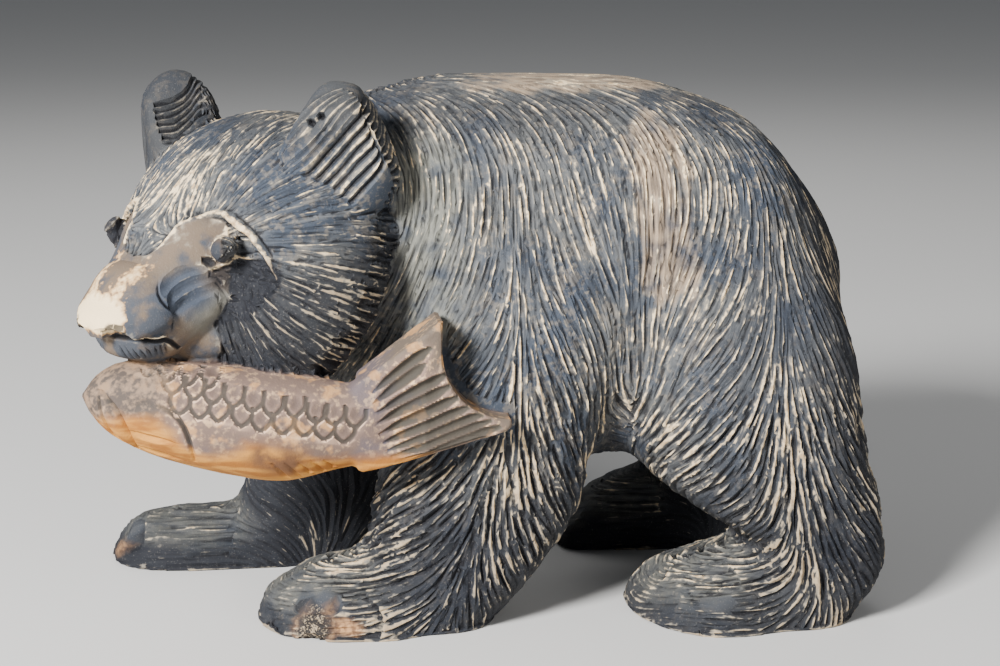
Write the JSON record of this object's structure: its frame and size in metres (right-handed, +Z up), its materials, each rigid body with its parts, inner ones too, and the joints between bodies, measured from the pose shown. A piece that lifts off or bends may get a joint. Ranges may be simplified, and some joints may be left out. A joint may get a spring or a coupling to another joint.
{
  "type": "carved wooden bear figure",
  "caption": "Walking bear carved from one block of wood, head turned to its left, holding a salmon crosswise in its jaws.",
  "frame": {"origin": "middle of the bounding box in plan, on the plane of the four soles", "axes": "-X towards the bear's head, +X towards its rump, -Y towards its left side, +Z up"},
  "size_m": [0.2048, 0.1132, 0.14],
  "materials": {
    "stained_wood": "gouge-carved, dark stain worn back to bare wood on the ridges"
  },
  "bodies": {
    "root": {"bear_with_salmon": "stained_wood"}
  },
  "joints": []
}
